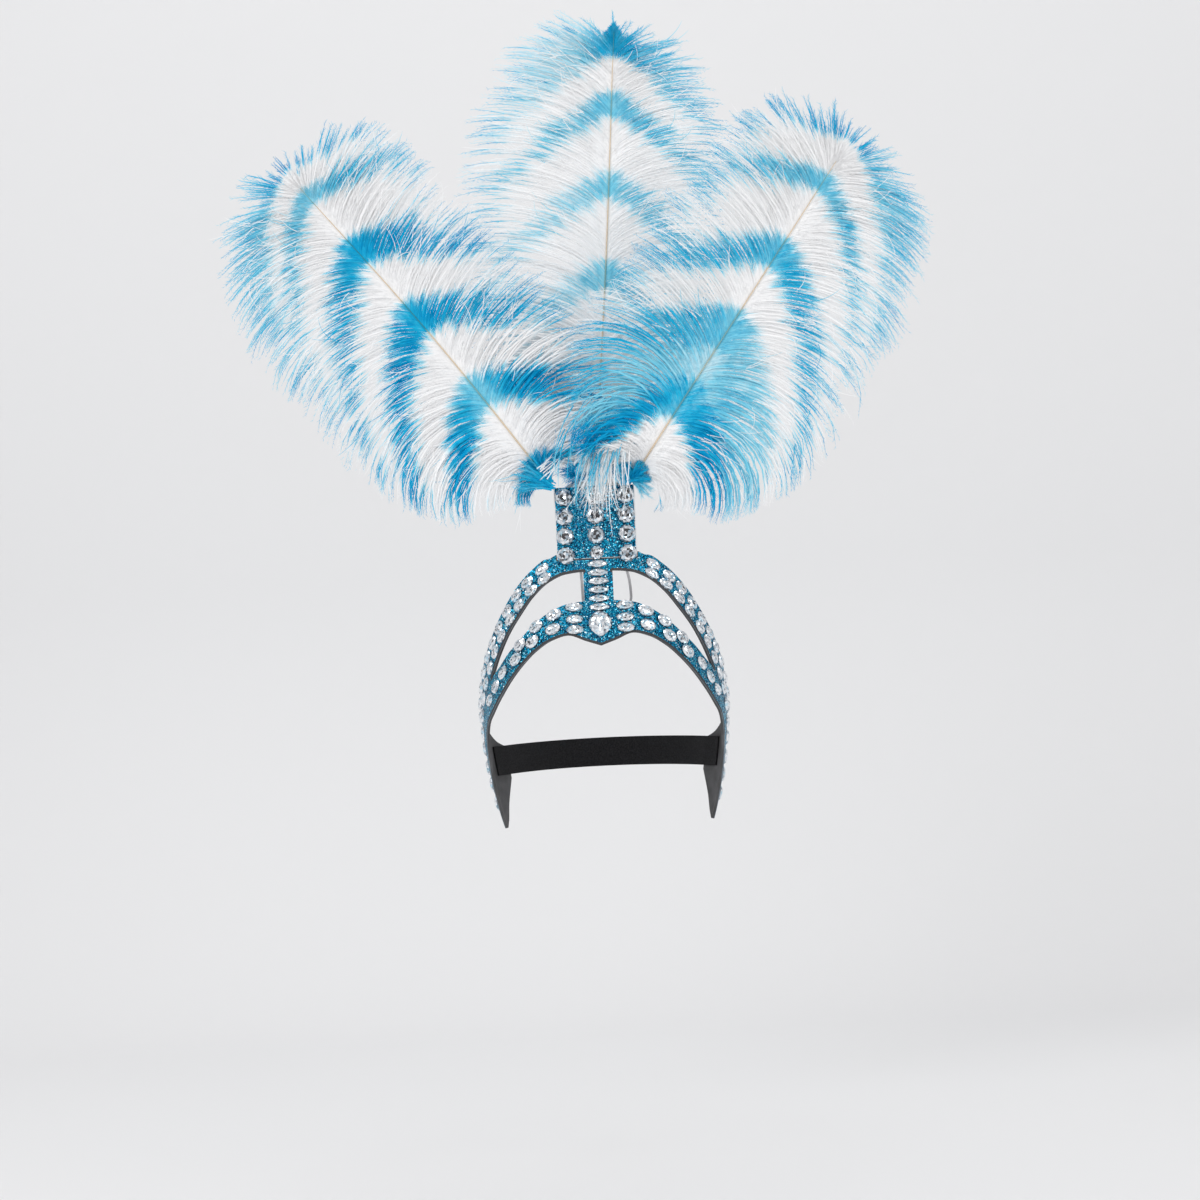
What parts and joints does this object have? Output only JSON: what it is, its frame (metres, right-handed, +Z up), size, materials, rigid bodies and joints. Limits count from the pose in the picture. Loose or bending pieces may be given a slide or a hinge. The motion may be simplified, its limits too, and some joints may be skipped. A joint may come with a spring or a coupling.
{
  "type": "showgirl feather headdress",
  "caption": "Blue glitter foam headdress with clear cut stones, a crest plate and three blue and white striped ostrich plumes.",
  "frame": {"origin": "centre of the head opening at temple level, where the head sits", "axes": "+Z up along the wearer's head, -Y to the wearer's front, +X to the viewer's right from the front"},
  "size_m": [0.5725, 0.2357, 0.6642],
  "materials": {
    "crown_foam": "glitter-covered foam, charcoal edges and back",
    "plate_foam": "glitter-covered foam, white edges",
    "backing": "matte",
    "wire": "satin",
    "elastic": "ribbed",
    "stone": "cut, foiled back",
    "feather": "dyed ostrich feather in white and blue stripes"
  },
  "bodies": {
    "root": {"beside_stone_left_1": "stone", "beside_stone_left_2": "stone", "beside_stone_left_3": "stone", "beside_stone_right_1": "stone", "beside_stone_right_2": "stone", "beside_stone_right_3": "stone", "brow_stone_left_1": "stone", "brow_stone_left_2": "stone", "brow_stone_left_3": "stone", "brow_stone_left_4": "stone", "brow_stone_left_5": "stone", "brow_stone_left_6": "stone", "brow_stone_right_1": "stone", "brow_stone_right_2": "stone", "brow_stone_right_3": "stone", "brow_stone_right_4": "stone", "brow_stone_right_5": "stone", "brow_stone_right_6": "stone", "crest_plate": "plate_foam", "crown_frame": "crown_foam", "drop_stone": "stone", "elastic_band": "elastic", "feather_backing": "backing", "plate_stone_centre_1": "stone", "plate_stone_centre_2": "stone", "plate_stone_centre_3": "stone", "plate_stone_centre_4": "stone", "plate_stone_left_1": "stone", "plate_stone_left_2": "stone", "plate_stone_left_3": "stone", "plate_stone_left_4": "stone", "plate_stone_right_1": "stone", "plate_stone_right_2": "stone", "plate_stone_right_3": "stone", "plate_stone_right_4": "stone", "plume_centre": "feather", "plume_left": "feather", "plume_right": "feather", "strap_stone_1": "stone", "strap_stone_2": "stone", "strap_stone_3": "stone", "strap_stone_4": "stone", "strap_stone_5": "stone", "strap_stone_6": "stone", "support_wire": "wire"}
  },
  "joints": []
}
